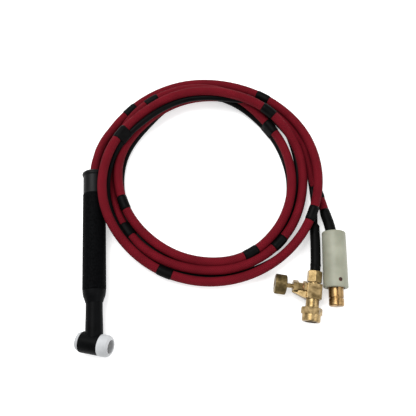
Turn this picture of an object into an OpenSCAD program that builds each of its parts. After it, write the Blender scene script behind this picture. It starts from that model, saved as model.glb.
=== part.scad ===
// Hand torch for arc welding with a tungsten electrode, air cooled, laid flat with its lead coiled.
// Millimetres. The handle lies along Y with the head towards -Y, on the plane z = 0.
// The origin is below the middle of the torch itself, without its lead.

/* [Handle] */
// Outside diameter of the grip sleeve
grip_d = 20.8; // [19:0.2:21.5]
// Length of the rigid handle tube, from its rim to the nose seam
handle_len = 111; // [108:0.1:116]
// Diameter of the flared rim where the lead goes in
rim_d = 22.4; // [22:0.1:22.8]
// Length of the bare collar that the grip sleeve leaves free
collar_len = 21.8; // [18:0.1:28]

/* [Head] */
// Diameter of the moulded neck
neck_d = 14.6; // [14:0.2:16.4]
// Diameter of the moulded barrel
barrel_d = 18; // [17.4:0.2:18.6]
// Angle that the front of the barrel leans away from the handle
head_lean = 14; // [8:1:18]
// Angle that the front of the barrel is rolled up from the bench
head_roll = 14; // [4:1:14]
// Diameter of the front insulator ring
front_ring_d = 18.5; // [18:0.1:19]

/* [Lead] */
// Diameter of the braided power cable
cable_d = 8.4; // [8:0.1:8.6]
// Diameter of the gas hose
hose_d = 5.6; // [5:0.2:5.8]
// Height of the coil as it lies
coil_h = 27.5; // [24:0.5:30]

/* [Plug] */
// Diameter of the plug's contact pin
pin_d = 13; // [12.8:0.1:13.2]
// Free length of the pin
pin_len = 16; // [15:0.5:20]
// Diameter of the boot at the pin
boot_d = 21.8; // [21:0.2:22]
// Length of the boot
boot_len = 51; // [50:1:56]

/* [Valve] */
// Side of the square valve block
block_w = 13.2; // [12.6:0.2:14]
// Diameter of the hand knob
knob_d = 17.5; // [15:0.5:17.5]
// Thickness of the hand knob
knob_t = 10.4; // [8:0.1:11]
// Diameter of the valve stem
stem_d = 4; // [3.6:0.1:4.2]
// Width across the flats of the outlet nut
outlet_af = 16; // [15:0.2:16.2]

/* [Hidden] */
$fn = 64;

// Radial gap of a part that turns or slides in another
run = 0.05;
// Small overlap that keeps cuts and unions clean
eps = 0.01;

// Heights and places along the handle
axis_z = rim_d / 2;
rim_y = 83.6;
nose_y = rim_y - handle_len;
nose_tip_y = nose_y - 10.7;
head_y = -73.2;
head_lift = 0.6;
tube_r = 9.4;
tube_bore_r = 8.2;

// The barrel's pieces, along its own axis
barrel_front = 6.3;
barrel_back = -11.6;
core_r = 6.4;
core_nose_r = 5.4;
core_front = 10.6;
core_back = -14.4;
collet_r = 4.6;
cap_r = 4.2;
waist_r = 3.4;
front_ring_end = 15.8;
back_ring_end = -15.4;

// The lines inside the handle lie one above the other
cable_in_z = axis_z + 3.2;
hose_in_z = axis_z - 4.2;
block_y = [-4, 18];

// The coil lies round this centre
coil_c = [111.2, 73.9];
coil_out_r = 108;
coil_in_r = 67.5;

// Where the two lines leave the handle for the coil: [x, y, z]
cable_start_route = [
  [0, 34, 14.4], [0, 60, 14.4], [0.9, 84, 14.1], [1.9, 92.5, 13.5], [5.6, 108.2, 11],
  [16.6, 128.5, 8], [24.5, 139.3, 6.8], [34.9, 150.2, 6]
];
hose_start_route = [
  [0, 21, 7], [0, 60, 7], [0, 84, 7], [1.6, 91, 5.6], [4, 98, 4], [9, 108, 3], [15, 118, 2.8],
  [30, 136.5, 2.8]
];
// Where they leave the coil for the plug and for the valve
cable_end_route = [
  [200.8, 98, 4.2], [204.6, 82, 4.2], [207.2, 67.3, 4.2], [210.8, 54, 4.2], [213.8, 42, 4.4]
];
cable_sleeve_route = [
  [213.8, 42, 4.4], [216, 29, 6.8], [217.3, 20, 9.6], [217.9, 12, 11], [217, 3, 11]
];
hose_end_route = [
  [201.4, 91, 2.9], [203.9, 79, 2.9], [205.5, 64, 2.9], [205.6, 51, 3], [204.9, 38, 4],
  [203.7, 27, 4.6], [202.2, 16, 5.4]
];
hose_sleeve_route = [
  [202.2, 16, 5.4], [200.8, 4, 7.2], [199.1, -8, 8.8], [197.8, -17, 9.2], [196.42, -23.85, 9.2]
];
sleeve_wall = 0.6;
hose_sleeve_wall = 1.4;

// Bands of heat shrink on the power cable: [degrees clockwise from +Y, radius, height]
band_len = 13;
band_wall = 0.4;
band_places = [
  [315, 107.9, 6.2], [34.5, 100.6, 6.2], [115, 99.3, 11.8], [209, 101.8, 9.5],
  [301, 95.5, 18.7], [42, 83.2, 20.3], [141, 89, 8], [240, 94.8, 6],
  [327, 99.6, 10.5], [51, 77.7, 8], [158, 82, 8], [255, 86.9, 9]
];

// The plug lies on its boot
plug_at = [212.4, -40, boot_d / 2];
plug_turn = -6;
plug_screw_y = 6.2;
plug_screw_turn = 10;
plug_screw_r = 1.8;
slot_turn = -4;
boot_back_d = 21.2;
boot_bore_r = 8.2;
boot_neck_r = 4.7;
boot_neck_y = boot_len - 9;
shank_r = 7;
crimp_y = [7, 21];

// The valve lies beside it
valve_at = [192.5, -41.8, 9.2];
valve_turn = -12.3;
arm_y = 2.6;
half = block_w / 2;
gas_r = 1.8;
inlet_y = half + 5.4;
inlet_r = 4.4;
hose_nut_y = [8.2, 18.2];
hose_nut_af = 12;
outlet_boss_y = -13.8;
outlet_boss_r = 5.8;
nipple_r = 3.9;
nipple_thread_r = 3.6;
nut_y = [-14, -20, -26.2];
nut_bore_r = 5.5;
arm_end = -9.6;
seat_x = -2.6;
bonnet_end = -13.9;
bonnet_r = 4;
bonnet_thread_r = 3;
packing_r = 2.9;
packing_x = -11.6;
packing_nut_end = -18.6;
knob_x = -24.3;
stem_end = knob_x - knob_t + 2.4;
stem_r = stem_d / 2;

// ---- helpers ----

// Points on a smooth curve through a route, some for each stretch
function smooth(p, n) = [
  for (i = [0 : len(p) - 2], k = [0 : n - 1])
    let (a = p[max(i - 1, 0)], b = p[i], c = p[i + 1], d = p[min(i + 2, len(p) - 1)], t = k / n)
      0.5 * (2 * b + (c - a) * t + (2 * a - 5 * b + 4 * c - d) * t * t
        + (3 * b - a - 3 * c + d) * t * t * t),
  p[len(p) - 1]
];

function unit(v) = v / norm(v);

// Direction of a route at one of its points
function along(p, i) = unit(p[min(i + 1, len(p) - 1)] - p[max(i - 1, 0)]);

// A closed tube of radius r along a route
module tube(route, r, n = 2, sides = 10) {
  p = smooth(route, n);
  rings = [
    for (i = [0 : len(p) - 1])
      let (t = along(p, i), side = unit(cross(t, [0, 0, 1])), up = cross(side, t))
        for (k = [0 : sides - 1])
          p[i] + r * (cos(360 * k / sides) * side + sin(360 * k / sides) * up)
  ];
  walls = [
    for (i = [0 : len(p) - 2], k = [0 : sides - 1])
      let (m = (k + 1) % sides)
        each [
          [i * sides + k, (i + 1) * sides + k, (i + 1) * sides + m],
          [i * sides + k, (i + 1) * sides + m, i * sides + m]
        ]
  ];
  first = [for (k = [0 : sides - 1]) k];
  last = [for (k = [sides - 1 : -1 : 0]) (len(p) - 1) * sides + k];
  polyhedron(points = rings, faces = concat(walls, [first, last]));
}

// A turned piece from [position, radius] pairs, lying along Y
module turned_y(profile) {
  rotate([-90, 0, 0])
    rotate_extrude()
      polygon([for (q = profile) [q[1], q[0]]]);
}

// The same, lying along X
module turned_x(profile) {
  rotate([0, 90, 0])
    rotate_extrude()
      polygon([for (q = profile) [q[1], q[0]]]);
}

// A plain rod along Y or along X, between two places
module rod_y(y0, y1, r) {
  translate([0, y0, 0])
    rotate([-90, 0, 0])
      cylinder(h = y1 - y0, r = r);
}

module rod_x(x0, x1, r) {
  translate([x0, 0, 0])
    rotate([0, 90, 0])
      cylinder(h = x1 - x0, r = r);
}

// A hexagonal bar with its corners turned off at both ends
module hex_y(y0, y1, af, turn = 0) {
  intersection() {
    translate([0, y0, 0])
      rotate([-90, turn, 0])
        cylinder(h = y1 - y0, r = af / sqrt(3), $fn = 6);
    turned_y([
      [y0, 0], [y0, af * 0.53], [y0 + 0.8, af * 0.59], [y1 - 0.8, af * 0.59], [y1, af * 0.53], [y1, 0]
    ]);
  }
}

module hex_x(x0, x1, af) {
  rotate([0, 0, -90])
    hex_y(x0, x1, af);
}

module on_handle() {
  translate([0, 0, axis_z])
    children();
}

module on_barrel() {
  translate([0, head_y, axis_z + head_lift])
    rotate([0, -head_roll, -head_lean])
      children();
}

module on_plug() {
  translate(plug_at)
    rotate([0, 0, plug_turn])
      children();
}

module on_valve() {
  translate(valve_at)
    rotate([0, 0, valve_turn])
      children();
}

module on_arm() {
  on_valve()
    translate([0, arm_y, 0])
      children();
}

// ---- torch head ----

// Moulded rubber over the head: the barrel and the neck in one piece
module head_body() {
  color([0.05, 0.05, 0.055])
    difference() {
      union() {
        on_barrel()
          turned_x([
            [barrel_back, 0], [barrel_back, barrel_d / 2 - 0.5], [barrel_back + 0.5, barrel_d / 2],
            [barrel_front - 0.5, barrel_d / 2], [barrel_front, barrel_d / 2 - 0.5], [barrel_front, 0]
          ]);
        on_handle()
          turned_y([
            [head_y, 0], [head_y, neck_d / 2 + 0.35], [head_y + 14, neck_d / 2 + 0.3],
            [head_y + 26, neck_d / 2], [nose_y + 2, neck_d / 2], [nose_y + 2, 0]
          ]);
      }
      on_barrel()
        rod_x(barrel_back - 1, barrel_front + 1, core_r);
      on_barrel()
        rod_x(barrel_front, barrel_front + 12, 14);
      on_handle()
        rod_y(head_y + 2, nose_y + 3, 3.2);
    }
}

// Brass core of the head, threaded for a collet body in front and a back cap behind
module head_core() {
  color([0.72, 0.56, 0.28])
    on_barrel()
      difference() {
        union() {
          rod_x(barrel_back, barrel_front, core_r);
          rod_x(core_back, core_front, core_nose_r);
        }
        rod_x(0, core_front + 1, collet_r);
        rod_x(core_back - 1, -3, cap_r);
        rod_x(-4, 1, waist_r);
        gas_way();
      }
}

// Gas way from the neck tube into the core
module gas_way() {
  rotate([0, 0, head_lean])
    rotate([0, head_roll, 0])
      rod_y(2, 8, gas_r);
}

// Copper tube that carries the current and the gas from the handle to the core
module neck_tube() {
  color([0.72, 0.45, 0.3])
    difference() {
      on_handle()
        rod_y(head_y + 3, block_y[0] + 6, 3.2);
      on_barrel()
        rod_x(barrel_back, barrel_front, core_r);
      on_handle()
        rod_y(head_y, block_y[0] + 7, gas_r);
    }
}

// White ring that the cup seats against
module front_insulator() {
  r = front_ring_d / 2;
  color([0.86, 0.87, 0.88])
    on_barrel()
      turned_x([
        [barrel_front, core_nose_r], [barrel_front, r - 0.4], [barrel_front + 0.4, r],
        [front_ring_end - 3, r - 0.1], [front_ring_end - 1.2, r - 0.9], [front_ring_end, r - 2.4],
        [front_ring_end, 5.9], [front_ring_end - 0.5, 5.6], [core_front, 5.6], [core_front, core_nose_r]
      ]);
}

// White collar behind the barrel, where a back cap seals
module rear_insulator() {
  color([0.86, 0.87, 0.88])
    on_barrel()
      turned_x([
        [barrel_back, core_nose_r], [barrel_back, 8.1], [barrel_back - 0.8, 8.4], [barrel_back - 1.6, 8.2],
        [back_ring_end, 6.6], [back_ring_end, 5.9], [core_back, 5.8], [core_back, core_nose_r]
      ]);
}

// ---- handle ----

// Rigid tube with a bare collar and a flared rim
module handle_tube() {
  collar_y = rim_y - collar_len;
  color([0.13, 0.13, 0.135])
    on_handle()
      turned_y([
        [nose_y, tube_bore_r], [nose_y, tube_r], [collar_y - 0.2, tube_r], [collar_y, 10.1],
        [rim_y - 4.4, 10.2], [rim_y - 3.2, rim_d / 2 - 0.2], [rim_y - 2, rim_d / 2],
        [rim_y - 0.9, rim_d / 2 - 0.3], [rim_y, rim_d / 2 - 1.2], [rim_y, 9.2],
        [rim_y - 2, tube_bore_r]
      ]);
}

// Soft textured sleeve that the hand holds
module grip_sleeve() {
  collar_y = rim_y - collar_len;
  color([0.05, 0.05, 0.055])
    on_handle()
      turned_y([
        [nose_y + 0.2, tube_r], [nose_y + 0.2, grip_d / 2 - 0.3], [nose_y + 0.8, grip_d / 2],
        [collar_y - 1, grip_d / 2], [collar_y - 0.2, grip_d / 2 - 0.4], [collar_y - 0.2, tube_r]
      ]);
}

// Tapered nose that closes the handle on the neck
module handle_nose() {
  color([0.06, 0.06, 0.065])
    on_handle()
      turned_y([
        [nose_tip_y, neck_d / 2], [nose_tip_y, neck_d / 2 + 0.4], [nose_tip_y + 1.5, neck_d / 2 + 0.8],
        [nose_tip_y + 3.4, 8.8], [nose_tip_y + 5.2, 9.5], [nose_tip_y + 7, 9.9], [nose_y - 1.4, 10.2],
        [nose_y, 10.3], [nose_y, tube_bore_r],
        [nose_y + 2, tube_bore_r], [nose_y + 2, neck_d / 2]
      ]);
}

// Brass block inside the handle that joins the cable and the hose to the neck tube
module power_block() {
  color([0.72, 0.56, 0.28])
    difference() {
      on_handle()
        turned_y([
          [block_y[0], 0], [block_y[0], 6.4], [block_y[0] + 1, 7.4], [block_y[1], 7.4], [block_y[1], 0]
        ]);
      on_handle()
        rod_y(block_y[0] - 1, block_y[0] + 6, 3.2);
      on_handle()
        rod_y(block_y[0] + 5, block_y[0] + 9, gas_r);
      translate([0, 0, cable_in_z])
        rod_y(block_y[1] - 10, block_y[1] + 1, 3);
      translate([0, 0, hose_in_z])
        rod_y(block_y[0] + 7, block_y[1] + 1, 1.2);
    }
}

// Copper ferrule crimped on the end of the power cable
module cable_ferrule() {
  color([0.72, 0.45, 0.3])
    translate([0, 0, cable_in_z])
      turned_y([
        [block_y[1] - 10, 0], [block_y[1] - 10, 3], [block_y[1] + 0.5, 3], [block_y[1] + 1, 3.6],
        [block_y[1] + 12, 3.6], [block_y[1] + 16, 3], [block_y[1] + 16, 0]
      ]);
}

// Barbed brass tail that the gas hose is pushed on
module gas_barb() {
  y = block_y[1] - 4;
  color([0.72, 0.56, 0.28])
    translate([0, 0, hose_in_z])
      turned_y([
        [y, 0.7], [y, 1.2], [y + 7, 1.2], [y + 7, 1.6], [y + 10, 1.2], [y + 10, 1.6],
        [y + 13, 1.2], [y + 13, 1.6], [y + 16, 1.1], [y + 16, 0.7]
      ]);
}

// Crimped clip that holds the hose on its barb
module barb_clip() {
  color([0.75, 0.75, 0.76])
    translate([0, 0, hose_in_z])
      turned_y([
        [24, hose_d / 2], [24, hose_d / 2 + 0.5], [29, hose_d / 2 + 0.5], [29, hose_d / 2]
      ]);
}

// ---- lead ----

// Braided power cable from the handle to the coil
module cable_start() {
  color([0.42, 0.07, 0.11])
    tube(cable_start_route, cable_d / 2);
}

// Gas hose from the handle to the coil
module hose_start() {
  color([0.05, 0.05, 0.055])
    tube(hose_start_route, hose_d / 2);
}

// Outer shape of the coiled lead, cut clear of the handle and of the valve's knob that it lies against
module lead_coil() {
  mid_r = (coil_in_r + coil_out_r) / 2;
  color([0.42, 0.07, 0.11])
    difference() {
      translate([coil_c[0], coil_c[1], 0])
        rotate_extrude($fn = 96)
          polygon([
            [coil_in_r + 2.5, 0], [coil_in_r, 3], [coil_in_r, 12], [coil_in_r + 7, coil_h],
            [mid_r + 2, coil_h], [coil_out_r - 2, coil_h / 2], [coil_out_r, 8],
            [coil_out_r, 3], [coil_out_r - 2.5, 0]
          ]);
      translate([0, -60, axis_z])
        rod_y(0, 150, rim_d / 2 + 0.3);
      translate([-20, -60, -1])
        cube([20, 150, coil_h + 2]);
      on_arm()
        rod_x(knob_x - knob_t - 4, knob_x + 2, knob_d / 2 + 0.4);
    }
}

// Heat-shrink bands that gather the cable every so often along the coil
module shrink_bands() {
  color([0.06, 0.06, 0.065])
    for (b = band_places)
      translate([coil_c[0], coil_c[1], b[2]])
        rotate([0, 0, -b[0]])
          translate([0, b[1], 0])
            rotate([0, 90, 0])
              difference() {
                cylinder(h = band_len, r = cable_d / 2 + band_wall, center = true, $fn = 24);
                cylinder(h = band_len + 1, r = cable_d / 2, center = true, $fn = 24);
              }
}

// Power cable from the coil to the plug's sleeve
module cable_end() {
  color([0.42, 0.07, 0.11])
    tube(cable_end_route, cable_d / 2);
}

// Heat-shrink sleeve that runs into the plug's boot
module cable_sleeve() {
  color([0.06, 0.06, 0.065])
    tube(cable_sleeve_route, cable_d / 2 + sleeve_wall);
}

// Gas hose from the coil to the valve's sleeve
module hose_end() {
  color([0.05, 0.05, 0.055])
    tube(hose_end_route, hose_d / 2);
}

// Heat-shrink sleeve over the hose's ferrule
module hose_sleeve() {
  color([0.06, 0.06, 0.065])
    tube(hose_sleeve_route, hose_d / 2 + hose_sleeve_wall);
}

// ---- plug ----

// Insulating boot
module plug_boot() {
  r0 = boot_d / 2;
  r1 = boot_back_d / 2;
  color([0.65, 0.66, 0.58])
    on_plug()
      difference() {
        turned_y([
          [0, boot_bore_r], [0, r0 - 0.8], [0.25, r0 - 0.25], [0.8, r0], [boot_len - 1.4, r1],
          [boot_len - 0.4, r1 - 0.4], [boot_len, r1 - 1.4], [boot_len, boot_neck_r],
          [boot_neck_y, boot_neck_r], [boot_neck_y, boot_bore_r]
        ]);
        translate([0, plug_screw_y, 0])
          rotate([0, plug_screw_turn, 0])
            cylinder(h = r0 + 1, r = plug_screw_r);
      }
}

// Brass contact pin with its key slot and locking groove, and the shank in the boot
module plug_pin() {
  r = pin_d / 2;
  color([0.78, 0.58, 0.28])
    on_plug()
      difference() {
        turned_y([
          [-pin_len, 0], [-pin_len, r - 1.2], [-pin_len + 0.4, r - 0.4], [-pin_len + 1.2, r],
          [-12.6, r], [-12.6, r - 0.5], [-12.1, r - 0.5], [-12.1, r], [-9.4, r], [-9.4, r - 1],
          [-8.4, r - 1], [-8.4, r], [0, r], [0, shank_r],
          [22, shank_r], [22, 0]
        ]);
        rod_y(crimp_y[0], 23, 4.4);
        rotate([0, slot_turn, 0])
          translate([-0.65, -pin_len - 1, r - 3.4])
            cube([1.3, pin_len + 1, 6]);
        for (y = [10.5, 17])
          translate([0, y, 0])
            cylinder(h = 9, r = 2.5);
        translate([0, plug_screw_y, 0])
          rotate([0, plug_screw_turn, 0])
            translate([0, 0, 5])
              cylinder(h = 4, r = plug_screw_r);
      }
}

// Copper sleeve crimped round the strands
module plug_crimp() {
  color([0.72, 0.45, 0.3])
    on_plug()
      turned_y([[crimp_y[0], 3.1], [crimp_y[0], 4.4], [crimp_y[1], 4.4], [crimp_y[1], 3.1]]);
}

// Bare copper strands of the cable in the plug
module cable_core() {
  color([0.72, 0.45, 0.3])
    on_plug()
      rod_y(crimp_y[0] + 0.5, 42.5, 3.1);
}

// Two grub screws that clamp the crimped strands in the pin
module clamp_screws() {
  color([0.55, 0.55, 0.57])
    on_plug()
      for (y = [10.5, 17])
        translate([0, y, 0])
          difference() {
            translate([0, 0, 4.42])
              cylinder(h = 2.4, r = 2.5);
            translate([0, 0, 5.4])
              cylinder(h = 3, r = 1.4, $fn = 6);
          }
}

// Screw that keeps the boot on the pin
module boot_screw() {
  color([0.35, 0.13, 0.09])
    on_plug()
      translate([0, plug_screw_y, 0])
        rotate([0, plug_screw_turn, 0])
          difference() {
            translate([0, 0, 5])
              cylinder(h = boot_d / 2 - 6.2, r = plug_screw_r);
            translate([-1.2, -0.3, boot_d / 2 - 1.9])
              cube([2.4, 0.6, 1]);
          }
}

// ---- gas valve ----

// Brass ferrule crimped over the hose
module hose_ferrule() {
  color([0.72, 0.56, 0.28])
    on_valve()
      turned_y([[18.3, 1.7], [18.3, 3.4], [19.2, 3.7], [29, 3.6], [29, 2.5], [19.5, 2.5], [19.5, 1.7]]);
}

// Barbed tail that the nut holds against the valve's inlet
module hose_nipple() {
  color([0.72, 0.56, 0.28])
    on_valve()
      turned_y([
        [inlet_y + 0.05, 1], [inlet_y + 0.05, 4.1], [inlet_y + 1.8, 4.1], [inlet_y + 2, 1.7],
        [21, 1.7], [23.5, 1.4], [23.5, 1.7], [26, 1.4], [26, 1.7], [28.5, 1.4], [28.5, 1]
      ]);
}

// Hexagonal nut on the inlet
module hose_nut() {
  color([0.66, 0.53, 0.3])
    on_valve()
      difference() {
        hex_y(hose_nut_y[0], hose_nut_y[1], hose_nut_af, 30);
        rod_y(hose_nut_y[0] - 1, inlet_y + 2.1, inlet_r);
        rod_y(inlet_y + 1, hose_nut_y[1] + 1, 1.8);
      }
}

// Forged body: a square block, its inlet and outlet bosses and a web under the bonnet
module valve_body() {
  color([0.66, 0.53, 0.3])
    on_valve()
      difference() {
        union() {
          hull()
            for (x = [-1, 1], z = [-1, 1])
              translate([x * (half - 0.8), 0, z * (half - 0.8)])
                rod_y(-half, half, 0.8, $fn = 24);
          rod_y(half - eps, inlet_y, inlet_r);
          rod_y(outlet_boss_y, -half + eps, outlet_boss_r);
          translate([0, arm_y, 0])
            hex_x(arm_end, -half + eps, 10.4);
          hull() {
            translate([-half - 0.5, -half, -4])
              cube([1, 6, 8]);
            translate([-17.4, arm_y - 5.6, -2.6])
              cube([1, 2, 5.2]);
          }
        }
        rod_y(arm_y - 0.6, inlet_y + 1, 1.2);
        translate([-3.4, 0, 0])
          rod_y(outlet_boss_y - 1, arm_y - 2.5, 1.1);
        rod_y(outlet_boss_y - 1, -8, nipple_thread_r);
        translate([0, arm_y, 0]) {
          rod_x(arm_end - 1, seat_x, bonnet_thread_r);
          rod_x(seat_x - 0.1, 0, 1.1);
          rod_x(bonnet_end - eps, arm_end, bonnet_r + 0.02);
          rod_x(-20, bonnet_end, 5.9);
        }
      }
}

// Bonnet that screws into the body and guides the stem
module valve_bonnet() {
  color([0.74, 0.58, 0.3])
    on_arm()
      difference() {
        union() {
          rod_x(arm_end - 1, seat_x - 2, bonnet_thread_r);
          rod_x(bonnet_end, arm_end - 0.4, bonnet_r);
        }
        rod_x(bonnet_end - 1, seat_x, stem_r + run);
        rod_x(bonnet_end - 1, packing_x, packing_r);
      }
}

// Copper washer under the bonnet's shoulder
module bonnet_washer() {
  color([0.72, 0.45, 0.3])
    on_arm()
      difference() {
        rod_x(arm_end - 0.4, arm_end, 3.9);
        rod_x(arm_end - 1, arm_end + 1, bonnet_thread_r);
      }
}

// Packing ring round the stem
module stem_packing() {
  color([0.9, 0.9, 0.88])
    on_arm()
      difference() {
        rod_x(bonnet_end + 0.9, packing_x, packing_r);
        rod_x(bonnet_end, packing_x + 1, stem_r + run);
      }
}

// Nut that squeezes the packing
module packing_nut() {
  color([0.6, 0.46, 0.25])
    on_arm()
      difference() {
        union() {
          hex_x(packing_nut_end, bonnet_end, 10);
          rod_x(bonnet_end - eps, bonnet_end + 0.9, packing_r);
        }
        rod_x(packing_nut_end - 1, bonnet_end + 2, stem_r + run);
      }
}

// Stem with a needle point that closes the gas way
module valve_stem() {
  color([0.72, 0.56, 0.28])
    on_arm()
      turned_x([
        [stem_end, 0], [stem_end, stem_r], [seat_x - 1.2 * (stem_r - 1.05) / 0.45, stem_r],
        [seat_x + 2, 0.3], [seat_x + 2.1, 0]
      ]);
}

// Hand knob with a finely cut edge
module valve_knob() {
  r = knob_d / 2;
  x1 = knob_x - knob_t;
  color([0.5, 0.42, 0.26])
    on_arm()
      difference() {
        turned_x([
          [x1, 0], [x1, r - 1.4], [x1 + 0.4, r - 0.6], [x1 + 1.2, r], [knob_x - 1.2, r],
          [knob_x - 0.3, r - 0.6], [knob_x, r - 1.4], [knob_x, 0]
        ]);
        rod_x(stem_end - 0.2, knob_x + 1, stem_r + run);
        translate([knob_x - knob_t / 2, 0, 0])
          cylinder(h = r + 1, r = 1.2);
      }
}

// Grub screw that locks the knob on the stem
module knob_screw() {
  color([0.35, 0.35, 0.37])
    on_arm()
      translate([knob_x - knob_t / 2, 0, 0])
        difference() {
          translate([0, 0, stem_r + 0.1])
            cylinder(h = 5, r = 1.2);
          translate([0, 0, stem_r + 4])
            cylinder(h = 2, r = 0.6, $fn = 6);
        }
}

// Tail that holds the outlet nut on the body
module outlet_nipple() {
  color([0.72, 0.56, 0.28])
    on_valve()
      turned_y([
        [-8.1, 1.2], [-8.1, nipple_thread_r], [outlet_boss_y, nipple_thread_r],
        [outlet_boss_y, nipple_r], [-17.6, nipple_r], [-17.6, 4.9], [-19, 4.9], [-19.4, 4.4],
        [-19.4, 1.2]
      ]);
}

// Swivel nut, part hexagon and part round, threaded inside
module outlet_nut() {
  color([0.76, 0.62, 0.36])
    on_valve()
      difference() {
        union() {
          hex_y(nut_y[1], nut_y[0], outlet_af);
          turned_y([
            [nut_y[2], 0], [nut_y[2], outlet_af / 2 - 0.7], [nut_y[2] + 0.8, outlet_af / 2],
            [nut_y[1] + 0.5, outlet_af / 2], [nut_y[1] + 0.5, 0]
          ]);
        }
        rod_y(nut_y[2] - 1, -20.2, nut_bore_r);
        rod_y(-20.4, -17.4, 5.2);
        rod_y(-18, nut_y[0] + 1, nipple_r + run);
      }
}

// Soft washer on the nipple's end
module outlet_seal() {
  color([0.1, 0.1, 0.1])
    on_valve()
      turned_y([[-19.4, 2], [-19.4, 4.2], [-20.2, 4.2], [-20.2, 2]]);
}

head_body();
head_core();
neck_tube();
front_insulator();
rear_insulator();
handle_tube();
grip_sleeve();
handle_nose();
power_block();
cable_ferrule();
gas_barb();
barb_clip();
cable_start();
hose_start();
lead_coil();
shrink_bands();
cable_end();
cable_sleeve();
hose_end();
hose_sleeve();
plug_boot();
plug_pin();
plug_crimp();
cable_core();
clamp_screws();
boot_screw();
hose_ferrule();
hose_nipple();
hose_nut();
valve_body();
valve_bonnet();
bonnet_washer();
stem_packing();
packing_nut();
valve_stem();
valve_knob();
knob_screw();
outlet_nipple();
outlet_nut();
outlet_seal();
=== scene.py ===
# %% [markdown]
# # A hand torch for arc welding, with its lead coiled
#
# The torch lies on a bench. Its lead is a power cable in a braided jacket with a black gas
# hose beside it. The cable ends in a twist-lock plug and the hose ends in a brass needle valve.
#
# The rigid pieces come from the CAD model, which loads as a fixed frame: every object is in
# metres and already in its place. This script adds the lines, the fine shapes and the finishes.

# %% Load the frame
from math import cos, sin, pi, radians, degrees, atan2, sqrt

import bmesh
import bpy
from mathutils import Matrix, Vector


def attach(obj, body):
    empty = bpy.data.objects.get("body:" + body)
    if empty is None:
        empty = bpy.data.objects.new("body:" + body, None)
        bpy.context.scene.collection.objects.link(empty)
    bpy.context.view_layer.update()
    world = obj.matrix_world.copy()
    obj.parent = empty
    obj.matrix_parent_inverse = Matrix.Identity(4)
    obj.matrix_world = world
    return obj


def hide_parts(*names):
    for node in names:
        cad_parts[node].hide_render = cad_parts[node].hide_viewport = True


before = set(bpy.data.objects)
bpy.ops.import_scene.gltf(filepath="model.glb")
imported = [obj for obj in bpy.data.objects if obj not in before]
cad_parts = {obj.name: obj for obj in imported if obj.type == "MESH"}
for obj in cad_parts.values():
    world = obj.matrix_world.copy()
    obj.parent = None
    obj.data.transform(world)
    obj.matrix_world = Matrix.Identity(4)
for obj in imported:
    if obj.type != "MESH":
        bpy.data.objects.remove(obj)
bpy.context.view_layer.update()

# %% [markdown]
# ## The camera
#
# The eye stands 0.45 m above the bench and leans 18 degrees towards the head of the torch, so
# the view is almost a plan. A lens of 43 mm on a 36 mm sensor takes in the whole coil.

# %% Place the camera
eye = bpy.data.cameras.new("eye")
eye.lens = 43.46
eye.sensor_width = 36.0
eye_object = bpy.data.objects.new("eye", eye)
eye_object.location = (0.0952, -0.1018, 0.4537)
eye_object.rotation_euler = (radians(18), 0.0, radians(-3.9))
bpy.context.scene.collection.objects.link(eye_object)
bpy.context.scene.camera = eye_object
print("camera at", tuple(eye_object.location))

# %% [markdown]
# ## The routes of the two lines
#
# A coiled line could be drawn as a helix, but a lead that is laid down by hand never repeats
# its turns: they cross, climb over each other and drop back to the bench. So each turn is
# given by a few pairs, its distance from the coil's centre and its height, one pair for every
# 30 degrees clockwise. The pairs are measured values and follow no rule. A smooth curve
# through them makes the laid turns. The ends are plain points. The hose's lie within 0.7 mm of
# the CAD part's route, and the cable's within 2.5 mm.

# %% Keys of the laid turns
MM = 0.001
COIL_CENTRE = Vector((111.2, 73.9, 0.0))
FIRST_ANGLE = 315
KEY_STEP = 30
CABLE_D = 8.4
HOSE_D = 5.6
FLOOR_GAP = 0.05
RING_GAP = 2.4

cable_leaves = [
    (0.4, 72, 14.3), (0.9, 84, 14.1), (1.9, 92.5, 13.5), (3.3, 98.8, 12.7),
    (5.6, 108.2, 11), (10.3, 118.8, 9.4), (16.6, 128.5, 8), (24.5, 139.3, 6.8),
]
cable_turns = [
    (107.9, 6), (104.4, 6), (101, 5.6), (100.4, 6.5), (98.9, 14), (99.1, 16.5),
    (99.8, 12), (100.1, 8), (101, 7.5), (102.8, 12), (103.4, 21.5), (99, 21),
    (92.3, 17), (88.4, 18.5), (82.2, 23.5), (83.6, 20), (86.2, 11), (86.3, 8.5),
    (88.6, 8.5), (90.2, 8.5), (90.8, 8.5), (93.8, 7.5), (95.9, 5.5), (98.5, 5.5),
    (99.9, 10), (96.6, 11.5), (85.8, 16.5), (78, 9.8), (75.2, 9.2), (75.7, 9.7),
    (79, 9.7), (82.8, 9.2), (82.9, 9.5), (83.6, 9.7), (86.9, 10), (90, 10),
    (86.4, 9.8), (86.1, 8), (88, 4.5), (91.5, 4.5), (95.5, 4.5),
]
cable_arrives = [
    (206.6, 67, 4.4), (209.9, 54, 4.4), (212.4, 42, 4.6), (213.9, 29, 7),
    (214.9, 20, 9.5), (215.4, 12, 10.9), (216, 3, 11),
]
hose_leaves = [
    (0, 72, 7), (0.1, 84, 6.8), (1.6, 91, 5.6), (4, 98, 4),
    (9, 108, 3), (15, 118, 2.8), (21.5, 127, 2.8), (30, 136.5, 2.8),
]
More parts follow.
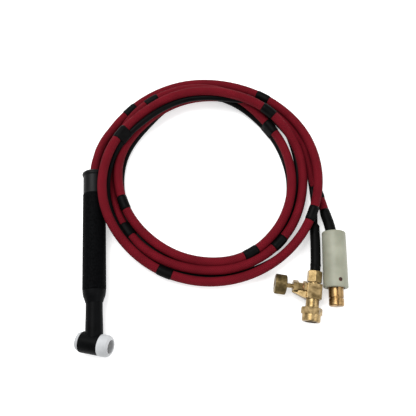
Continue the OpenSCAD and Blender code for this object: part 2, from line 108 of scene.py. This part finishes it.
hose_turns = [
    (102.6, 2.9), (99.5, 2.9), (94.8, 2.9), (96.5, 3.2), (99.6, 7), (99.1, 10.3),
    (99, 5), (96, 2.9), (96.2, 2.9), (99.6, 6.5), (99.8, 14.5), (95.2, 15),
    (84.9, 17), (82.8, 14.8), (79.3, 18), (88.5, 12.5), (84.5, 4.8), (81.2, 2.9),
    (83.8, 2.9), (86.5, 2.9), (86.9, 2.9), (88.6, 2.9), (90.3, 2.9), (92, 2.9),
    (95.4, 4.5), (93.2, 7), (81.8, 9), (75.2, 3), (72.5, 2.9), (74.8, 2.9),
    (78.5, 2.9), (81, 2.9), (80.3, 2.9), (82.5, 2.9), (86.5, 3), (86.8, 4),
    (84.7, 3.2), (90, 2.9), (86.3, 2.9), (87.5, 2.9), (88.8, 2.9),
]
hose_arrives = [
    (203.9, 79, 2.9), (205.5, 64, 2.9), (205.6, 51, 3), (204.9, 38, 4),
    (203.7, 27, 4.6), (202.2, 16, 5.4), (200.8, 4, 7.2), (199.1, -8, 8.8),
    (197.8, -17, 9.2), (196.42, -23.85, 9.2),
]
print("turns:", len(cable_turns) * KEY_STEP / 360, len(hose_turns) * KEY_STEP / 360)


# %% A smooth curve through points
def smooth_through(points, pieces):
    """Catmull-Rom curve through the points, some pieces for each stretch."""
    points = [Vector(p) for p in points]
    last = len(points) - 1
    out = []
    for i in range(last):
        a, b, c, d = points[max(i - 1, 0)], points[i], points[i + 1], points[min(i + 2, last)]
        for k in range(pieces):
            t = k / pieces
            out.append(0.5 * (2 * b + (c - a) * t + (2 * a - 5 * b + 4 * c - d) * t * t
                              + (3 * b - a - 3 * c + d) * t ** 3))
    out.append(points[last])
    return out


def laid_turns(keys):
    """Points of the laid turns from their pairs of distance and height."""
    rows = [(FIRST_ANGLE + KEY_STEP * i, r, z) for i, (r, z) in enumerate(keys)]
    return [Vector((COIL_CENTRE.x + r * sin(radians(a)), COIL_CENTRE.y + r * cos(radians(a)), z))
            for a, r, z in smooth_through(rows, 6)]


def evenly_spaced(points, step):
    """The same line with its points a fixed step apart."""
    lengths = [0.0]
    for a, b in zip(points, points[1:]):
        lengths.append(lengths[-1] + (b - a).length)
    count = round(lengths[-1] / step)
    out, i = [], 0
    for k in range(count + 1):
        want = lengths[-1] * k / count
        while i < len(points) - 2 and lengths[i + 1] < want:
            i += 1
        share = (want - lengths[i]) / (lengths[i + 1] - lengths[i])
        out.append(points[i].lerp(points[i + 1], share))
    return out, lengths[-1]


def route_of(leaves, turns, arrives, diameter):
    """The whole route in metres, kept on or above the bench, and its length."""
    rough = [Vector(p) for p in leaves] + laid_turns(turns) + [Vector(p) for p in arrives]
    lowest = diameter / 2 + FLOOR_GAP
    points = [Vector((p.x, p.y, max(p.z, lowest))) * MM for p in smooth_through(rough, 4)]
    return evenly_spaced(points, RING_GAP * MM)


cable_route, cable_length = route_of(cable_leaves, cable_turns, cable_arrives, CABLE_D)
hose_route, hose_length = route_of(hose_leaves, hose_turns, hose_arrives, HOSE_D)
print(f"power cable {cable_length:.3f} m, gas hose {hose_length:.3f} m")

# %% [markdown]
# ## The power cable and the gas hose
#
# A curve with a bevel is the quick way to a cable, but the braid on this one has to follow its
# length. So each line is a mesh: a circle from bmesh is set down at every point of the route
# and neighbouring circles are bridged. Each corner gets a UV, once round the line across and
# its length in metres along, and the braid's pattern reads that.


# %% Rings along a route
def ring_frames(route):
    """A place and two side directions for each point, carried along without twisting."""
    frames, side = [], None
    for i, p in enumerate(route):
        along = (route[min(i + 1, len(route) - 1)] - route[max(i - 1, 0)]).normalized()
        side = along.cross(Vector((0, 0, 1))) if side is None else side - along * side.dot(along)
        side.normalize()
        frames.append((p, along, side, side.cross(along) * -1))
    return frames


def loop_edges(ring):
    """The edges that join a ring's own corners."""
    members = set(ring)
    return list({e for v in ring for e in v.link_edges if e.other_vert(v) in members})


def piece_from(name, bm, smooth=True, recalculate=True):
    """Makes an object of a finished bmesh, with its faces turned outwards."""
    if recalculate:
        bmesh.ops.recalc_face_normals(bm, faces=bm.faces)
    mesh = bpy.data.meshes.new(name)
    bm.to_mesh(mesh)
    bm.free()
    for polygon in mesh.polygons:
        polygon.use_smooth = smooth
    piece = bpy.data.objects.new(name, mesh)
    bpy.context.scene.collection.objects.link(piece)
    return piece


# %% A tube along a route
def tube_piece(name, route, edge_at, sides=20):
    """A closed tube. edge_at(step, angle) gives how far the skin stands off the route,
    as a distance sideways and a distance up."""
    bm = bmesh.new()
    rings, run = [], 0.0
    place_of, share_of = {}, {}
    for i, (p, along, side, up) in enumerate(ring_frames(route)):
        run += (p - route[i - 1]).length if i else 0.0
        ring = bmesh.ops.create_circle(bm, segments=sides, radius=1.0)["verts"]
        for v in ring:
            angle = atan2(v.co.y, v.co.x)
            sideways, upwards = edge_at(i, angle)
            v.co = p + side * sideways + up * upwards
            v.co.z = max(v.co.z, FLOOR_GAP * MM)
            place_of[v], share_of[v] = run, (angle / (2 * pi)) % 1.0
        rings.append(ring)
    for a, b in zip(rings, rings[1:]):
        bmesh.ops.bridge_loops(bm, edges=loop_edges(a) + loop_edges(b))
    uv = bm.loops.layers.uv.new("along")
    for f in bm.faces:
        shares = [share_of[corner.vert] for corner in f.loops]
        wraps = max(shares) - min(shares) > 0.5
        for corner in f.loops:
            share = share_of[corner.vert]
            corner[uv].uv = (share + 1.0 if wraps and share < 0.5 else share, place_of[corner.vert])
    for ring in (rings[0], rings[-1]):
        bmesh.ops.contextual_create(bm, geom=loop_edges(ring))
    return piece_from(name, bm)


def round_edge(radii):
    """An edge for tube_piece that is round. radii is one radius, or one for each step."""
    def edge_at(step, angle):
        r = radii if isinstance(radii, float) else radii[step]
        return r * cos(angle), r * sin(angle)
    return edge_at


power_cable = tube_piece("power_cable", cable_route, round_edge(CABLE_D / 2 * MM), 20)
gas_hose = tube_piece("gas_hose", hose_route, round_edge(HOSE_D / 2 * MM), 16)
print("cable faces:", len(power_cable.data.polygons), "hose faces:", len(gas_hose.data.polygons))

# %% [markdown]
# ## Bands of heat shrink
#
# Every 150 mm or so a short tube of heat shrink holds the hose against the cable. Shrunk tube
# is drawn tight like a rubber band, so across the lead its outline is the hull of one circle or
# of two. A tube piece does this when its edge asks, for each direction, which circle reaches
# further. The ends are thinner, as the cut ends of real shrink are.

# %% Where the bands sit
BAND_ANGLES = [315, 394.5, 477.2, 569, 658.6, 764, 861, 959.8, 1047, 1131.3, 1238.5, 1335.5, 1542]
BAND_LENGTH = 14.0 * MM
BAND_WALL = 0.45 * MM
BAND_STEPS = 8
LEAST_GAP, MOST_GAP = 6.2 * MM, 8.6 * MM


def angles_along(route):
    """The clockwise angle about the coil's centre at each point, counted on past each turn."""
    out = []
    for p in route:
        a = degrees(atan2(p.x / MM - COIL_CENTRE.x, p.y / MM - COIL_CENTRE.y)) % 360
        while out and a < out[-1] - 180:
            a += 360
        out.append(a)
    return out


def stretch_of(route, middle, length, steps):
    """Evenly spaced points of a short stretch of a route."""
    gap = (route[1] - route[0]).length
    half = round(length / 2 / gap) + 1
    points = smooth_through(route[max(middle - half, 0):middle + half + 1], 6)
    points, whole = evenly_spaced(points, 0.2 * MM)
    spare = (whole - length) / 2
    inner = [points[round((spare + length * k / steps) / whole * (len(points) - 1))]
             for k in range(steps + 1)]
    return inner


# %% Shrink a band over the lines
def crossing(line, p, along):
    """Where a line goes through the plane at p that faces along."""
    for a, b in zip(line, line[1:]):
        before, after = (a - p).dot(along), (b - p).dot(along)
        if before <= 0 < after:
            return a.lerp(b, before / (before - after))
    return min(line, key=lambda q: (q - p).length)


def band_edge(points, hose_part, walls):
    """The hull of the cable's circle and, where the hose touches it, of the hose's circle."""
    frames = ring_frames(points)
    middles = [crossing(hose_part, f[0], f[1]) for f in frames] if hose_part else []

    def edge_at(step, angle):
        p, _, side, up = frames[step]
        circles = [(0.0, 0.0, CABLE_D / 2 * MM)]
        if hose_part:
            q = middles[step]
            circles.append(((q - p).dot(side), (q - p).dot(up), HOSE_D / 2 * MM))
        x, y, r = max(circles, key=lambda c: c[0] * cos(angle) + c[1] * sin(angle) + c[2])
        return x + (r + walls[step]) * cos(angle), y + (r + walls[step]) * sin(angle)
    return edge_at


cable_angles = angles_along(cable_route)
shrink_bands = []
for number, band_angle in enumerate(BAND_ANGLES, 1):
    middle = min(range(len(cable_route)), key=lambda i: abs(cable_angles[i] - band_angle))
    points = stretch_of(cable_route, middle, BAND_LENGTH, BAND_STEPS)
    centre = points[BAND_STEPS // 2]
    nearest = min(range(len(hose_route)), key=lambda i: (hose_route[i] - centre).length)
    gap = (hose_route[nearest] - centre).length
    holds_both = LEAST_GAP < gap < MOST_GAP
    near = hose_route[max(nearest - 6, 0):nearest + 7]
    walls = [0.2 * BAND_WALL] + [BAND_WALL] * (BAND_STEPS - 1) + [0.2 * BAND_WALL]
    band = tube_piece(f"shrink_band_{number:02d}", points,
                      band_edge(points, near if holds_both else [], walls), 32)
    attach(band, "torch")
    shrink_bands.append(band)
    print(f"band {number}: gap {gap / MM:.1f} mm,", "both lines" if holds_both else "cable only")
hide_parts("shrink_bands")

# %% [markdown]
# ## Sleeves at the plug and at the valve
#
# Longer pieces of heat shrink stiffen each line where it enters its fitting. The cable's sleeve
# ends in a soft step on the braid. The hose has a thick collar with a bead near the nut.

# %% Make the two sleeves
SLEEVE_START_ANGLE = 1440 + 111.5
first = min(range(len(cable_route)), key=lambda i: abs(cable_angles[i] - SLEEVE_START_ANGLE))
sleeve_route = cable_route[first:]
CABLE_SLEEVE_WALL = 0.62
sleeve_radii = [(CABLE_D / 2 + CABLE_SLEEVE_WALL * min(1.0, 0.25 + k * 0.4)) * MM
                for k in range(len(sleeve_route))]
cable_sleeve_piece = tube_piece("plug_sleeve", sleeve_route, round_edge(sleeve_radii), 28)
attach(cable_sleeve_piece, "torch")
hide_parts("cable_sleeve")

HOSE_SLEEVE_LENGTH = 47.0 * MM
HOSE_SLEEVE_D = 9.0
BEAD_FROM_NUT, BEAD_HEIGHT = 6, 0.35
hose_gap = (hose_route[1] - hose_route[0]).length
count = round(HOSE_SLEEVE_LENGTH / hose_gap)
hose_sleeve_route, _ = evenly_spaced(hose_route[-count:], 1.0 * MM)
hose_sleeve_radii = []
for k in range(len(hose_sleeve_route)):
    to_nut = len(hose_sleeve_route) - 1 - k
    bead = BEAD_HEIGHT * max(0.0, 1 - abs(to_nut - BEAD_FROM_NUT) / 1.6)
    start = min(1.0, 0.3 + k * 0.35)
    hose_sleeve_radii.append((HOSE_D / 2 + (HOSE_SLEEVE_D - HOSE_D) / 2 * start + bead) * MM)
hose_sleeve_piece = tube_piece("valve_sleeve", hose_sleeve_route, round_edge(hose_sleeve_radii), 28)
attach(hose_sleeve_piece, "torch")
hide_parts("hose_sleeve")
print("sleeves:", len(sleeve_route), "and", len(hose_sleeve_route), "rings")

# %% [markdown]
# ## Turned pieces with fine ridges
#
# The valve's knob is knurled and the white collar behind the barrel has fine ridges. Both are
# turned shapes, so a profile is spun round an axis. The knob's teeth are then made by moving
# every other line of corners inwards, which gives real grooves and not only a bump.

# %% Axes of the barrel and of the valve's arm
def axis_at(place, turns):
    """The matrix of a turned piece's own axis: its X lies along the axis, in metres."""
    matrix = Matrix.Translation(Vector(place) * MM)
    for axis, angle in turns:
        matrix = matrix @ Matrix.Rotation(radians(angle), 4, axis)
    return matrix


barrel_axis = axis_at((0, -73.2, 11.8), (("Z", -14), ("Y", -14)))
arm_axis = axis_at((192.5, -41.8, 9.2), (("Z", -12.3),)) @ Matrix.Translation((0, 2.6 * MM, 0))


def spun_piece(name, profile, axis, steps, groove=None):
    """Spins (place along the axis, radius) pairs in mm all the way round an axis.
    groove(place, radius) is how far every other line of corners moves inwards."""
    bm = bmesh.new()
    corners = [bm.verts.new((x * MM, 0, r * MM)) for x, r in profile]
    closed = profile[0][1] > 0
    pairs = list(zip(corners, corners[1:])) + ([(corners[-1], corners[0])] if closed else [])
    edges = [bm.edges.new(pair) for pair in pairs]
    bmesh.ops.spin(bm, geom=corners + edges, cent=(0, 0, 0), axis=(1, 0, 0),
                   angle=2 * pi, steps=steps, use_merge=True)
    bmesh.ops.remove_doubles(bm, verts=bm.verts, dist=1e-6)
    if groove:
        for v in bm.verts:
            r = sqrt(v.co.y ** 2 + v.co.z ** 2)
            tooth = round(atan2(v.co.y, v.co.z) / (2 * pi) * steps)
            if r > 1e-6 and tooth % 2:
                share = (r - groove(v.co.x / MM, r / MM) * MM) / r
                v.co.y *= share
                v.co.z *= share
    bmesh.ops.transform(bm, matrix=axis, verts=bm.verts)
    return piece_from(name, bm)


# %% Knurled knob
KNOB_X0, KNOB_X1, KNOB_R = -34.7, -24.3, 8.75
KNOB_CORNERS = 140


def knob_groove(x, r):
    inside = KNOB_X0 + 0.9 < x < KNOB_X1 - 0.9
    return 0.42 if inside and r > KNOB_R - 0.3 else 0.0


knob_profile = [
    (KNOB_X0, 2.1), (KNOB_X0, 6.4), (KNOB_X0 + 0.1, 7.8), (KNOB_X0 + 0.4, 8.4),
    (KNOB_X0 + 0.9, KNOB_R), (KNOB_X0 + 1.2, KNOB_R), (KNOB_X0 + 3.2, KNOB_R),
    (KNOB_X0 + 5.2, KNOB_R), (KNOB_X0 + 7.2, KNOB_R), (KNOB_X1 - 1.2, KNOB_R),
    (KNOB_X1 - 0.9, KNOB_R), (KNOB_X1 - 0.4, 8.4), (KNOB_X1, 7.8), (KNOB_X1, 2.1),
]
knurled_knob = spun_piece("knurled_knob", knob_profile, arm_axis, KNOB_CORNERS, knob_groove)
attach(knurled_knob, "knob")
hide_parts("valve_knob")
print("knob faces:", len(knurled_knob.data.polygons))

# %% Ridged white collar
collar_profile = [(-11.6, 5.4), (-11.6, 8.1), (-11.9, 8.3), (-12.3, 8.4), (-12.7, 8.3)]
for k in range(4):
    x = -12.9 - 0.56 * k
    low = 7.8 - 0.28 * k
    collar_profile += [(x, low), (x - 0.13, low + 0.3), (x - 0.31, low + 0.3), (x - 0.44, low)]
collar_profile += [(-15.2, 6.8), (-15.4, 6.6), (-15.4, 5.9), (-14.4, 5.8), (-14.4, 5.4)]
ridged_collar = spun_piece("ridged_collar", collar_profile, barrel_axis, 96)
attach(ridged_collar, "torch")
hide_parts("rear_insulator")
print("collar faces:", len(ridged_collar.data.polygons))

# %% [markdown]
# ## How the finishes are built
#
# A flat colour never looks real. Each finish here starts from one shader with its plain values
# on its own sockets, and then a few texture nodes vary colour, roughness and relief. They read
# Object coordinates, so a pattern stays where it is on a piece, except on the braid, which
# reads the UV that runs along the cable.

# %% Helpers for finishes
def new_finish(name, colour, roughness, **sockets):
    """A finish whose shader has these plain values."""
    finish = bpy.data.materials.new(name)
    finish.use_nodes = True
    shader = finish.node_tree.nodes["Principled BSDF"]
    shader.inputs["Base Color"].default_value = (*colour, 1.0)
    shader.inputs["Roughness"].default_value = roughness
    for key, value in sockets.items():
        shader.inputs[key.replace("_", " ")].default_value = value
    return finish


def node(finish, kind, inputs, output=0, **settings):
    """Adds a node, sets or links its inputs, and gives one of its outputs."""
    made = finish.node_tree.nodes.new(kind)
    for key, value in settings.items():
        setattr(made, key, value)
    for key, value in inputs.items():
        if isinstance(value, bpy.types.NodeSocket):
            finish.node_tree.links.new(value, made.inputs[key])
        else:
            made.inputs[key].default_value = value
    return made.outputs[output]


def feed(finish, socket, source):
    """Links a source to a socket of the finish's shader."""
    shader = finish.node_tree.nodes["Principled BSDF"]
    finish.node_tree.links.new(source, shader.inputs[socket])


def maths(finish, operation, a, b=0.0):
    """One sum on two values."""
    return node(finish, "ShaderNodeMath", {0: a, 1: b}, operation=operation)


def blend_of(finish, share, dark, light):
    """A colour between two colours."""
    return node(finish, "ShaderNodeMix", {0: share, 6: (*dark, 1.0), 7: (*light, 1.0)}, 2,
                data_type="RGBA")


def span_of(finish, value, low, high, to_low, to_high):
    """A value moved from one span to another, and kept inside it."""
    return node(finish, "ShaderNodeMapRange",
                {"Value": value, "From Min": low, "From Max": high,
                 "To Min": to_low, "To Max": to_high})


def noise_of(finish, scale, detail=3.0, stretch=(1.0, 1.0, 1.0)):
    """Noise on Object coordinates. The scale is in waves for each metre."""
    coords = node(finish, "ShaderNodeTexCoord", {}, "Object")
    placed = node(finish, "ShaderNodeMapping", {"Vector": coords, "Scale": stretch})
    return node(finish, "ShaderNodeTexNoise", {"Vector": placed, "Scale": scale, "Detail": detail})


def relief(finish, height, depth, strength=1.0):
    """Bumps the surface by a height of 0 to 1 times a depth in metres."""
    feed(finish, "Normal", node(finish, "ShaderNodeBump",
                                {"Height": height, "Distance": depth, "Strength": strength}))


def mottled(name, dark, light, gloss, patches, grain, depth, stretch=(1.0, 1.0, 1.0), **sockets):
    """A finish with soft patches of colour and gloss, and a fine grain in relief.
    gloss is the least and the most roughness; patches and grain are waves for each metre."""
    finish = new_finish(name, light, gloss[0], **sockets)
    patch = noise_of(finish, patches, 4.0)
    feed(finish, "Base Color", blend_of(finish, span_of(finish, patch, 0.35, 0.65, 0.0, 1.0),
                                        dark, light))
    fine = noise_of(finish, grain, 2.0, stretch)
    mixed = maths(finish, "ADD", maths(finish, "MULTIPLY", patch, 0.6),
                   maths(finish, "MULTIPLY", fine, 0.4))
    feed(finish, "Roughness", span_of(finish, mixed, 0.35, 0.65, *gloss))
    relief(finish, fine, depth)
    return finish


# %% [markdown]
# ### The braided jacket
#
# The jacket is woven from flat ribbons of dark red yarn, one set winding to the left and one to
# the right, each over two and under two. With u round the cable and v along it, two sums of u
# and v count the ribbons of each set. Which set is on top follows from those counts, and the
# yarns show as finer lines on the ribbon that is on top.

# %% Weave the braid
RIBBONS = 16
RIBBON_TURNS_PER_METRE = 60.0

braid = new_finish("red_braid", (0.1, 0.008, 0.012), 0.7, Specular_IOR_Level=0.06)
along_uv = node(braid, "ShaderNodeUVMap", {}, uv_map="along")
split = braid.node_tree.nodes.new("ShaderNodeSeparateXYZ")
braid.node_tree.links.new(along_uv, split.inputs[0])
round_cable = maths(braid, "MULTIPLY", split.outputs[0], float(RIBBONS))
down_cable = maths(braid, "MULTIPLY", split.outputs[1], RIBBON_TURNS_PER_METRE * RIBBONS / 2)
left = maths(braid, "ADD", round_cable, down_cable)
right = maths(braid, "SUBTRACT", round_cable, down_cable)
over = maths(braid, "LESS_THAN", maths(braid, "FLOORED_MODULO", maths(
    braid, "ADD", maths(braid, "FLOOR", left), maths(braid, "FLOOR", right)), 4.0), 1.5)


def crown(across):
    """A ribbon's rounded back: 0 at its edges and 1 in its middle."""
    return maths(braid, "POWER", maths(
        braid, "SINE", maths(braid, "MULTIPLY", maths(braid, "FRACT", across), pi)), 0.5)


def yarns(across):
    """The few yarns that lie side by side in a ribbon."""
    return maths(braid, "PINGPONG", maths(braid, "MULTIPLY", across, 4.0), 0.5)


def either(a, b):
    return node(braid, "ShaderNodeMix", {0: over, 2: b, 3: a}, 0)


back = either(crown(left), crown(right))
yarn = either(yarns(left), yarns(right))
weave = maths(braid, "ADD", maths(braid, "MULTIPLY", back, 0.7), maths(
    braid, "MULTIPLY", yarn, 0.6))
dust = noise_of(braid, 60.0, 3.0)
# The colour is darker at each ribbon's edges and between its yarns: painted shade in the grooves of
# the weave, over a real tone from the dust noise.
weave_shade_and_dust = maths(braid, "MULTIPLY", maths(braid, "POWER", weave, 1.6),
              span_of(braid, dust, 0.3, 0.7, 0.7, 1.0))
feed(braid, "Base Color", blend_of(braid, weave_shade_and_dust, (0.02, 0.0005, 0.0012), (0.24, 0.009, 0.02)))
relief(braid, weave, 0.28 * MM)
print("ribbons round the cable:", RIBBONS)

# %% [markdown]
# ### Rubber, moulded plastic and shrink tube
#
# The black pieces differ mostly in gloss and grain: the hose is smooth with a soft shine, shrink
# tube is a little duller, the head's rubber is satin, and the grip has a fine leathery texture
# that is made from cells, which read as small pads with creases between them.

# %% Black finishes
hose_rubber = mottled("hose_rubber", (0.0008, 0.0008, 0.0009), (0.002, 0.002, 0.0022), (0.36, 0.5),
                      90.0, 900.0, 0.03 * MM, Specular_IOR_Level=0.05)
shrink_tube = mottled("shrink_tube", (0.0012, 0.0012, 0.0013), (0.003, 0.003, 0.0031), (0.42, 0.6),
                      130.0, 700.0, 0.05 * MM, Specular_IOR_Level=0.05)
head_rubber = mottled("head_rubber", (0.001, 0.0011, 0.0013), (0.0024, 0.0026, 0.003), (0.4, 0.54),
                      70.0, 1600.0, 0.03 * MM, Specular_IOR_Level=0.05)
collar_plastic = mottled("collar_plastic", (0.003, 0.003, 0.0033), (0.006, 0.006, 0.0064),
                         (0.34, 0.46), 60.0, 1100.0, 0.015 * MM, Specular_IOR_Level=0.1)
seal_rubber = mottled("seal_rubber", (0.01, 0.01, 0.01), (0.02, 0.02, 0.02), (0.6, 0.8),
                      120.0, 900.0, 0.03 * MM)

grip_rubber = new_finish("grip_rubber", (0.002, 0.0022, 0.0025), 0.65, Specular_IOR_Level=0.025)
grip_coords = node(grip_rubber, "ShaderNodeTexCoord", {}, "Object")
pads = node(grip_rubber, "ShaderNodeTexVoronoi", {"Vector": grip_coords, "Scale": 620.0}, 0)
skin = noise_of(grip_rubber, 2600.0, 2.0)
grip_height = maths(grip_rubber, "SUBTRACT", maths(grip_rubber, "MULTIPLY", skin, 0.4), pads)
# The pads' middles are lighter and the creases between them darker: painted shade in the creases.
feed(grip_rubber, "Base Color", blend_of(
    grip_rubber, span_of(grip_rubber, pads, 0.1, 0.8, 1.0, 0.0),
    (0.0008, 0.0009, 0.0011), (0.0022, 0.0024, 0.0028)))
feed(grip_rubber, "Roughness", span_of(grip_rubber, pads, 0.0, 0.8, 0.5, 0.72))
relief(grip_rubber, grip_height, 0.1 * MM)

# %% Pale finishes
white_ceramic = mottled("white_insulator", (0.4, 0.41, 0.42), (0.5, 0.51, 0.52), (0.46, 0.6),
                        80.0, 1400.0, 0.02 * MM, Specular_IOR_Level=0.4)
boot_plastic = mottled("boot_plastic", (0.24, 0.245, 0.185), (0.31, 0.315, 0.245), (0.42, 0.56),
                       55.0, 1300.0, 0.025 * MM, Specular_IOR_Level=0.4,
                       Subsurface_Weight=0.03, Subsurface_Scale=0.002)

# %% [markdown]
# ### Metals
#
# Turned brass shows fine rings from the tool, and handling dulls it in patches. So colour and
# roughness vary together over a few millimetres, with a very fine grain for the tool marks.

# %% Metals
brass = mottled("turned_brass", (0.2, 0.135, 0.055), (0.42, 0.3, 0.14), (0.24, 0.44),
                170.0, 2400.0, 0.02 * MM, Metallic=1.0)
cast_brass = mottled("cast_brass", (0.2, 0.135, 0.055), (0.46, 0.33, 0.16), (0.26, 0.48),
                     230.0, 1200.0, 0.06 * MM, Metallic=1.0)
# The cast brass is made darker towards the bench, below 11 mm: painted shade on the low parts of
# the valve body and the outlet nut.
low_shade = cast_brass.node_tree.nodes["Principled BSDF"].inputs["Base Color"].links[0].from_socket
place = node(cast_brass, "ShaderNodeSeparateXYZ", {0: node(
    cast_brass, "ShaderNodeTexCoord", {}, "Object")}, 2)
height_shade = span_of(cast_brass, place, 3.0 * MM, 11.0 * MM, 0.22, 1.0)
feed(cast_brass, "Base Color", node(cast_brass, "ShaderNodeMix", {
    0: height_shade, 6: (0.05, 0.028, 0.012, 1.0), 7: low_shade}, 2, data_type="RGBA"))
knob_brass = mottled("knurled_brass", (0.12, 0.085, 0.035), (0.26, 0.19, 0.085), (0.32, 0.5),
                     210.0, 2600.0, 0.03 * MM, Metallic=1.0)
pin_brass = mottled("contact_brass", (0.17, 0.1, 0.035), (0.42, 0.27, 0.12), (0.24, 0.44),
                    150.0, 2200.0, 0.02 * MM, Metallic=1.0)
copper = mottled("bright_copper", (0.5, 0.22, 0.12), (0.78, 0.4, 0.25), (0.2, 0.4),
                 150.0, 2000.0, 0.02 * MM, Metallic=1.0)
steel = mottled("plain_steel", (0.3, 0.3, 0.32), (0.5, 0.5, 0.52), (0.25, 0.45),
                150.0, 2200.0, 0.015 * MM, Metallic=1.0)
screw_paint = mottled("rusty_screw", (0.035, 0.012, 0.01), (0.11, 0.035, 0.028), (0.4, 0.62),
                      400.0, 2200.0, 0.03 * MM, Metallic=0.4)

# %% Give every piece its finish
FINISHES = {
    hose_rubber: ["gas_hose", "hose_start", "hose_end"],
    braid: ["power_cable", "lead_coil", "cable_start", "cable_end"],
    shrink_tube: ["plug_sleeve", "valve_sleeve", "shrink_bands", "cable_sleeve", "hose_sleeve"]
    + [band.name for band in shrink_bands],
    head_rubber: ["head_body", "handle_nose"],
    grip_rubber: ["grip_sleeve"],
    collar_plastic: ["handle_tube"],
    white_ceramic: ["front_insulator", "ridged_collar", "rear_insulator"],
    boot_plastic: ["plug_boot"],
    brass: ["hose_nut", "packing_nut", "valve_bonnet", "outlet_nipple", "head_core", "power_block",
            "gas_barb", "hose_nipple", "valve_stem", "hose_ferrule"],
    cast_brass: ["valve_body", "outlet_nut"],
    knob_brass: ["knurled_knob", "valve_knob"],
    pin_brass: ["plug_pin"],
    copper: ["neck_tube", "cable_ferrule", "plug_crimp", "cable_core", "bonnet_washer"],
    steel: ["barb_clip", "clamp_screws", "knob_screw"],
    screw_paint: ["boot_screw"],
    seal_rubber: ["outlet_seal", "stem_packing"],
}
given = set()
for finish, names in FINISHES.items():
    for name in names:
        piece = bpy.data.objects[name]
        piece.data.materials.clear()
        piece.data.materials.append(finish)
        given.add(name)
print("nodes with no finish:", sorted(set(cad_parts) - given))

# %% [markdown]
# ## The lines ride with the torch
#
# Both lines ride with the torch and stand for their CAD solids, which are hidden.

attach(power_cable, "torch")
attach(gas_hose, "torch")
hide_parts("cable_start", "cable_end", "lead_coil")
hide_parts("hose_start", "hose_end")

# %% [markdown]
# ## The bench and the light
#
# A white bench, a large soft lamp overhead and a weaker one at the side give a bright picture
# with faint shadows under the lead. The bench glows a little, so that it stays white, and the
# world behind it is a dull white.

# %% Bench
bench_shape = bmesh.new()
bmesh.ops.create_grid(bench_shape, x_segments=1, y_segments=1, size=3.0)
bench = piece_from("bench", bench_shape, smooth=False)
bench.data.materials.append(new_finish(
    "white_bench", (0.8, 0.8, 0.8), 0.9, Specular_IOR_Level=0.0,
    Emission_Color=(1.0, 1.0, 1.0, 1.0), Emission_Strength=0.5))


# %% Lamps
def soft_lamp(name, place, target, size, watts):
    """A square lamp that faces a point."""
    lamp = bpy.data.lights.new(name, "AREA")
    lamp.size = size
    lamp.energy = watts
    holder = bpy.data.objects.new(name, lamp)
    holder.location = place
    holder.rotation_euler = (Vector(target) - Vector(place)).to_track_quat("-Z", "Y").to_euler()
    bpy.context.scene.collection.objects.link(holder)
    return holder


MIDDLE = (0.1, 0.03, 0.0)
soft_lamp("overhead_lamp", (-0.25, 0.45, 1.0), MIDDLE, 0.7, 11.0)
soft_lamp("side_lamp", (0.8, -0.3, 0.7), MIDDLE, 0.5, 3.0)
world = bpy.data.worlds.new("studio")
bpy.context.scene.world = world
world.use_nodes = True
world.node_tree.nodes["Background"].inputs["Color"].default_value = (1, 1, 1, 1)
world.node_tree.nodes["Background"].inputs["Strength"].default_value = 0.6
bpy.context.scene.view_settings.view_transform = "Standard"
print("view:", bpy.context.scene.view_settings.view_transform)
